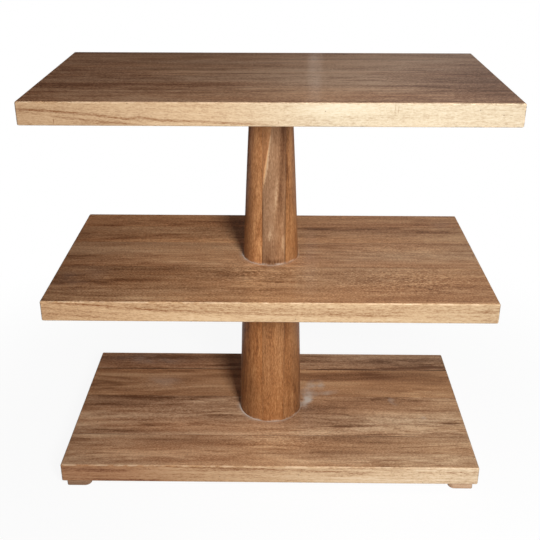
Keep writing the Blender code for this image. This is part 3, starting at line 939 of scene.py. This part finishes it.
def makeStave(sectionName, staveName, cutters):
    nodeName = f"{sectionName}_{staveName}"
    low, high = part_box(nodeName)
    bottom, top = low.z, high.z
    ease, bore = column["endEase"], column["boreRadius"]
    heights = [
        bottom + ease + (top - bottom - 2 * ease) * station / column["stations"]
        for station in range(column["stations"] + 1)
    ]
    outline = [(bore, bottom), (columnRadius(bottom) - ease, bottom)]
    outline += [(columnRadius(height), height) for height in heights]
    outline += [(columnRadius(top) - ease, top), (bore, top)]
    bm = turned(outline, column["steps"], ring=True)

    # The glue lines' planes, and the side that each clears
    halfLine = column["glueLine"] / 2
    leftSeam, rightSeam = column["leftSeam"], column["rightSeam"]
    planes = {
        "left_stave": [(leftSeam - halfLine, 1.0)],
        "centre_stave": [(leftSeam + halfLine, -1.0), (rightSeam - halfLine, 1.0)],
        "right_stave": [(rightSeam + halfLine, -1.0)],
    }[staveName]
    for planeX, direction in planes:
        cut = bmesh.ops.bisect_plane(
            bm, geom=bm.verts[:] + bm.edges[:] + bm.faces[:], dist=0.0000001, clear_outer=True,
            plane_co=(planeX, 0.0, 0.0), plane_no=(direction, 0.0, 0.0),
        )
        rim = [item for item in cut["geom_cut"] if isinstance(item, bmesh.types.BMEdge)]
        filled = bmesh.ops.holes_fill(bm, edges=rim, sides=0)["faces"]
        bevel(bm, rimEdges(filled), column["glueEase"])
    material = staveMaterial(nodeName, bottom, top)
    piece = addPiece(f"{nodeName}_wood", bm, material, "column_wood", nodeName)
    applyCuts(piece, [cutter for cutter in cutters if meets(cutter, low, high)])
    smoothPiece(piece, 30)


# The section of the column that stands on each tier
standingOn = {"top_tier": None, "middle_tier": "upper_column", "base_tier": "lower_column"}


def buildTable():
    over, gap = tiers["overrun"], tiers["holeGap"]
    dowelHoles = [holeFor(name, gap, tiers["holeEndGap"]) for name in nodes if "_dowel_" in name]
    screwHoles = [holeFor(name, tiers["pilotGap"], gap) for name in nodes if "_screw" in name]
    cutters = [holeFor("rod_insert", gap, gap)] + dowelHoles + screwHoles
    for tierName, sectionName in standingOn.items():
        low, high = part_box(f"{tierName}_back_board")
        ownCutters, footRadius = [], 0.0
        if sectionName:
            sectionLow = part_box(f"{sectionName}_centre_stave")[0].z
            footRadius = columnRadius(high.z)
            housing = columnRadius(sectionLow) + tiers["housingGap"]
            floor, steps = high.z - tiers["housingDepth"], tiers["housingSteps"]
            ownCutters = [
                roundCutter(housing, floor, high.z + over, steps=steps),
                roundCutter(tiers["rodHoleRadius"], low.z - over, high.z + over),
            ]
        if tierName == "base_tier":
            recessTop, steps = low.z + tiers["recessDepth"], tiers["recessSteps"]
            radius = tiers["recessRadius"]
            ownCutters.append(roundCutter(radius, low.z - over, recessTop, steps=steps))
        for index in range(len(boardNames)):
            makeBoard(tierName, index, ownCutters + cutters, footRadius)
        removeCutters(ownCutters)
        print(tierName, "made")
    for sectionName in ("upper_column", "lower_column"):
        for staveName in ("left_stave", "centre_stave", "right_stave"):
            makeStave(sectionName, staveName, dowelHoles)
        print(sectionName, "made")
    removeCutters(cutters)


buildTable()


# Feet

footSettings = {
    "innerCorner": (0.010, 8),  # radius and segments
    "outerCorner": (0.003, 4), "rimEase": (0.001, 3),
    "sinkRadius": 0.0048, "sinkDepth": 0.003, "pilotRadius": 0.00255,
    "overrun": 0.004, "steps": 48,
}
footLook = {
    "weights": (0.2, 0.8, 0.4, 0.5, 0.4, 0.4, 0.2, 0.4, -0.1),
    "shift": (0.4, 0.2, 0.1), "turn": (0.0, 0.0, 0.0),
    "pith": (0.28, 0.02), "waviness": 0.02,
    "layerStart": 1.7, "colour": (0.400, 0.240, 0.145),
    "warmShare": 0.4, "warmTint": (1.03, 0.93, 0.84),
    "dust": (0.30, 0.25, 0.20),
}


def footMaterial():
    material, graph, place = startMaterial("foot_wood")
    parts = woodTone(graph, place, footLook)
    colour = woodColour(graph, parts, footLook)
    colour = graph.blend(parts["pores"] * 0.4, colour, plainPores)
    z = graph.split(place)[2]
    dust = graph.fade(z, 0.0022, 0.0004) * graph.fade(graph.noise(place, 120.0, 3.0), 0.4, 0.6)
    colour = graph.blend(dust * 0.4, colour, footLook["dust"])
    graph.finish(colour, woodRoughness(parts, 0.5) + dust * 0.2, woodHeight(parts), woodSurface)
    return material


def makeFoot(nodeName, material):
    low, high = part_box(nodeName)
    centre = (low + high) / 2
    xSide = 1.0 if centre.x > 0.0 else -1.0
    bm = block(high - low, centre)
    upright = [edge for edge in bm.edges if edge.verts[0].co.xy == edge.verts[1].co.xy]
    for corner, side in (("innerCorner", -xSide), ("outerCorner", xSide)):
        edges = [edge for edge in upright if (edge.verts[0].co.x - centre.x) * side > 0.0]
        upright = [edge for edge in upright if edge not in edges]
        bevel(bm, edges, *footSettings[corner])
    bm.normal_update()
    rims = [edge for edge in bm.edges if edge.calc_face_angle(0.0) > math.radians(60)]
    bevel(bm, rims, *footSettings["rimEase"])
    piece = addPiece(f"{nodeName}_wood", bm, material, "foot_wood", nodeName)

    # Pilot hole and countersink
    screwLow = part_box(f"{nodeName}_screw")[0].z
    over, sink = footSettings["overrun"], footSettings["sinkRadius"]
    pilot, neck = footSettings["pilotRadius"], screwLow + footSettings["sinkDepth"]
    top = high.z + over
    outline = [(0.0, -over), (sink, -over), (sink, screwLow)]
    outline += [(pilot, neck), (pilot, top), (0.0, top)]
    hole = turned(outline, footSettings["steps"])
    arrange(hole, (centre.x, centre.y, 0.0))
    cutter = linkMesh("cutter", hole)
    applyCuts(piece, [cutter])
    removeCutters([cutter])
    smoothPiece(piece, 35, 50)


footWood = footMaterial()
for nodeName in ("front_left_foot", "front_right_foot", "back_left_foot", "back_right_foot"):
    makeFoot(nodeName, footWood)
print("feet made")


# Finishes of the pieces that stay as they are

steelSurface = {"specular": 0.5, "coat": 0.0, "coatRoughness": 0.3, "bump": (0.15, 0.0002)}
steelColours = (0.52, 0.52, 0.50), (0.68, 0.68, 0.65)

beechLook = {
    "weights": (0.0, 0.2, 0.15, 0.1, 0.1, 0.15, 0.1, 0.2, 0.0),
    "shift": (0.3, 0.5, 0.7), "turn": (0.0, math.pi / 2, 0.0),
    "pith": (0.60, 0.62), "waviness": 0.01,
    "layerStart": 2.9, "colour": (0.62, 0.46, 0.30),
    "warmShare": 0.3, "warmTint": (1.02, 0.95, 0.88),
}


def steelMaterial():
    material, graph, place = startMaterial("bright_zinc_steel")
    cloud = graph.noise(place, 160.0, 4.0, 0.6)
    scratch = graph.noise(place, (900.0, 900.0, 120.0))
    colour = graph.blend(graph.fade(cloud, 0.35, 0.65), *steelColours)
    roughness = 0.26 + cloud * 0.14 + scratch * 0.10
    graph.finish(colour, roughness, scratch, steelSurface, 1.0)
    return material


def beechMaterial():
    material, graph, place = startMaterial("beech_dowel")
    parts = woodTone(graph, place, beechLook)
    colour = woodColour(graph, parts, beechLook)
    graph.finish(colour, woodRoughness(parts, 0.6), woodHeight(parts), woodSurface)
    return material


steel, beech = steelMaterial(), beechMaterial()
for nodeName in nodes:
    dowel = "_dowel_" in nodeName
    if dowel or nodeName in ("rod_insert", "rod_washer", "rod_nut"):
        materials = nodes[nodeName].data.materials
        materials.clear()
        materials.append(beech if dowel else steel)


# Rod and screws: threads as close rings, and crossed slots in the screw heads

rod = {
    "radius": 0.005, "root": 0.0042, "crest": 0.00495, "pitch": 0.0015,
    "thread": 0.024, "chamfer": 0.0008, "steps": 48,
}
screw = {
    "head": 0.0045, "rim": 0.0003, "headDepth": 0.003,
    "shank": 0.00225, "plain": 0.005, "runOut": 0.0004,
    "root": 0.0017, "crest": 0.0024, "pitch": 0.0016, "point": 0.005,
    "steps": 40,
    "slotLength": 0.0024, "slotWidth": 0.0005, "slotDepth": 0.0018,
    "slotTaper": (0.45, 0.8, 1.0),
}


def threadRings(low, high, settings):
    count = int((high - low) / settings["pitch"])
    step = (high - low) / count
    rings = []
    for turn in range(count):
        height = low + turn * step
        rings += [(settings["root"], height), (settings["crest"], height + step / 2)]
    return rings + [(settings["root"], high)]


def makeRod():
    low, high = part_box("tie_rod")
    chamfer, end = rod["chamfer"], rod["root"] - rod["chamfer"]
    outline = [(0.0, low.z), (end, low.z)]
    outline += threadRings(low.z + chamfer, low.z + rod["thread"], rod)
    outline.append((rod["radius"], low.z + rod["thread"] + chamfer))
    outline.append((rod["radius"], high.z - rod["thread"] - chamfer))
    outline += threadRings(high.z - rod["thread"], high.z - chamfer, rod)
    outline += [(end, high.z), (0.0, high.z)]
    bm = turned(outline, rod["steps"])
    smoothPiece(addPiece("tie_rod_threaded", bm, steel, "steel_fixings", "tie_rod"), 30)


def slotCutter(centre, bottom, top, angle):
    bm = bmesh.new()
    bmesh.ops.create_cube(bm, size=2.0)
    upper = [vert for vert in bm.verts if vert.co.z > 0.0]
    bmesh.ops.scale(bm, vec=screw["slotTaper"], verts=upper)
    size = (screw["slotLength"], screw["slotWidth"], (top - bottom) / 2)
    arrange(bm, (centre.x, centre.y, (bottom + top) / 2), size, angle)
    return linkMesh("cutter", bm)


def makeScrew(nodeName, angle):
    low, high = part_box(nodeName)
    centre = (low + high) / 2
    head, rim, shank = screw["head"], screw["rim"], screw["shank"]
    neck, pointStart = low.z + screw["headDepth"], high.z - screw["point"]
    shankEnd = neck + screw["plain"]
    outline = [(0.0, low.z), (head - rim, low.z), (head, low.z + rim)]
    outline += [(shank, neck), (shank, shankEnd)]
    outline += threadRings(shankEnd + screw["runOut"], pointStart, screw)
    outline.append((0.0, high.z))
    bm = turned(outline, screw["steps"])
    arrange(bm, (centre.x, centre.y, 0.0))
    piece = addPiece(f"{nodeName}_threaded", bm, steel, "steel_fixings", nodeName)
    depth = low.z + screw["slotDepth"]
    cutters = [  # the second a hair larger, so that no faces coincide
        slotCutter(centre, low.z - 0.0005, depth, angle),
        slotCutter(centre, low.z - 0.0006, depth + 0.00002, angle + math.pi / 2),
    ]
    applyCuts(piece, cutters)
    removeCutters(cutters)
    smoothPiece(piece, 30)


makeRod()
for turn, nodeName in enumerate(sorted(name for name in nodes if name.endswith("_screw"))):
    makeScrew(nodeName, 0.4 + turn * 0.7)
print("fixings and dowels finished")


# Studio: white floor and world, a soft key front right, a low weak fill behind

lamps = {
    "key": {
        "place": (0.37, -1.30, 0.92), "aim": (0.22, 0.0, 0.42), "size": (0.32, 0.50),
        "power": 11.5, "spread": 115.0,
    },
    "fill": {
        "place": (0.0, 1.45, 0.08), "aim": (0.0, 0.0, 0.34), "size": (0.9, 0.12),
        "power": 3.4, "spread": 160.0,
    },
}
studio = {
    "ambient": 0.10, "floorSize": 24.0, "floorColour": 0.55,
    "shadowShare": 0.08, "shadowReach": (0.9, 0.36),
    "cardPlace": 1.1, "cardHeight": 2.6, "cardReach": 2.6,
    "cardLeft": 0.02, "cardRight": 0.34, "cardTint": (1.0, 0.93, 0.86),
    "streakPlace": 0.110, "streakLevel": 0.85,
}


def grey(level):
    return (level, level, level)


def seenRays(graph):
    # The camera's rays, and those with gloss and glass added
    eye = graph.node("LightPath", {}, {}, "Is Camera Ray")
    outputs = eye.socket.node.outputs
    others = [Wire(graph, outputs[f"Is {kind} Ray"]) for kind in ("Glossy", "Transmission")]
    return eye, graph.largest(eye, *others)


def makeWorld():
    world = bpy.data.worlds.new("studio")
    scene.world = world
    graph = Graph(world)
    seen = seenRays(graph)[1]
    level = graph.blend(seen, grey(studio["ambient"]), grey(1.0))
    graph.output("World", graph.node("Background", {}, {"Color": level, "Strength": 1.0}))


def glowing(graph, colour):
    return graph.node("Emission", {}, {"Color": solid(colour), "Strength": 1.0})


def makeFloor():
    material, graph, place = startMaterial("studioFloor")
    near = graph.fade(graph.length(place), *studio["shadowReach"])
    eye, seen = seenRays(graph)
    seen = seen * (1.0 - near * studio["shadowShare"])
    tint = graph.blend(eye, grey(studio["floorColour"]), grey(1.0))
    diffuse = graph.node("BsdfDiffuse", {}, {"Color": tint})
    mixed = {0: seen, 1: diffuse, 2: glowing(graph, grey(1.0))}
    graph.output("Material", graph.node("MixShader", {}, mixed))
    bm = bmesh.new()
    bmesh.ops.create_grid(bm, x_segments=1, y_segments=1, size=studio["floorSize"] / 2)
    floor = linkMesh("studioFloor", bm, material)


def makeLamp(name, settings):
    data = bpy.data.lights.new(f"{name}Light", "AREA")
    data.shape = "RECTANGLE"
    data.size, data.size_y = settings["size"]
    data.energy = settings["power"]
    data.spread = math.radians(settings["spread"])
    lamp = link(f"{name}Light", data)
    lamp.visible_camera = False
    lamp.visible_glossy = False
    place, aim = Vector(settings["place"]), Vector(settings["aim"])
    turn = (aim - place).to_track_quat("-Z", "Y").to_matrix().to_4x4()
    lamp.matrix_world = Matrix.Translation(place) @ turn


# A card behind the table that only gloss sees: dark on the left, grey on the right, with a
# pale slit that leaves a faint streak on the tops
def makeCard():
    material, graph, place = startMaterial("studioCard")
    x, _, z = graph.split(place)
    step = studio["cardRight"] - studio["cardLeft"]
    broken = graph.fade(graph.noise(place, (30.0, 1.0, 40.0), 3.0), 0.30, 0.62)
    slit = graph.fade(abs(x - studio["streakPlace"]), 0.028, 0.004) * (0.25 + broken * 0.75)
    slit = slit * graph.fade(z, 1.02, 0.80) * graph.fade(z, 0.72, 0.79)
    slit = slit * studio["streakLevel"]
    level = graph.fade(x, -0.25, 0.45) * step + studio["cardLeft"] + slit
    colour = graph.blend(graph.within(level), grey(0.0), studio["cardTint"])
    graph.output("Material", glowing(graph, colour))
    bm = bmesh.new()
    bmesh.ops.create_grid(bm, x_segments=1, y_segments=1, size=0.5)
    size = (2 * studio["cardReach"], studio["cardHeight"], 1.0)
    middle = (0.0, studio["cardPlace"], studio["cardHeight"] / 2)
    arrange(bm, middle, size, math.pi / 2, "X")
    card = linkMesh("studioCard", bm, material)
    card.visible_camera = False
    card.visible_diffuse = False
    card.visible_shadow = False


makeWorld()
makeFloor()
for name, settings in lamps.items():
    makeLamp(name, settings)
makeCard()
print("studio lit")
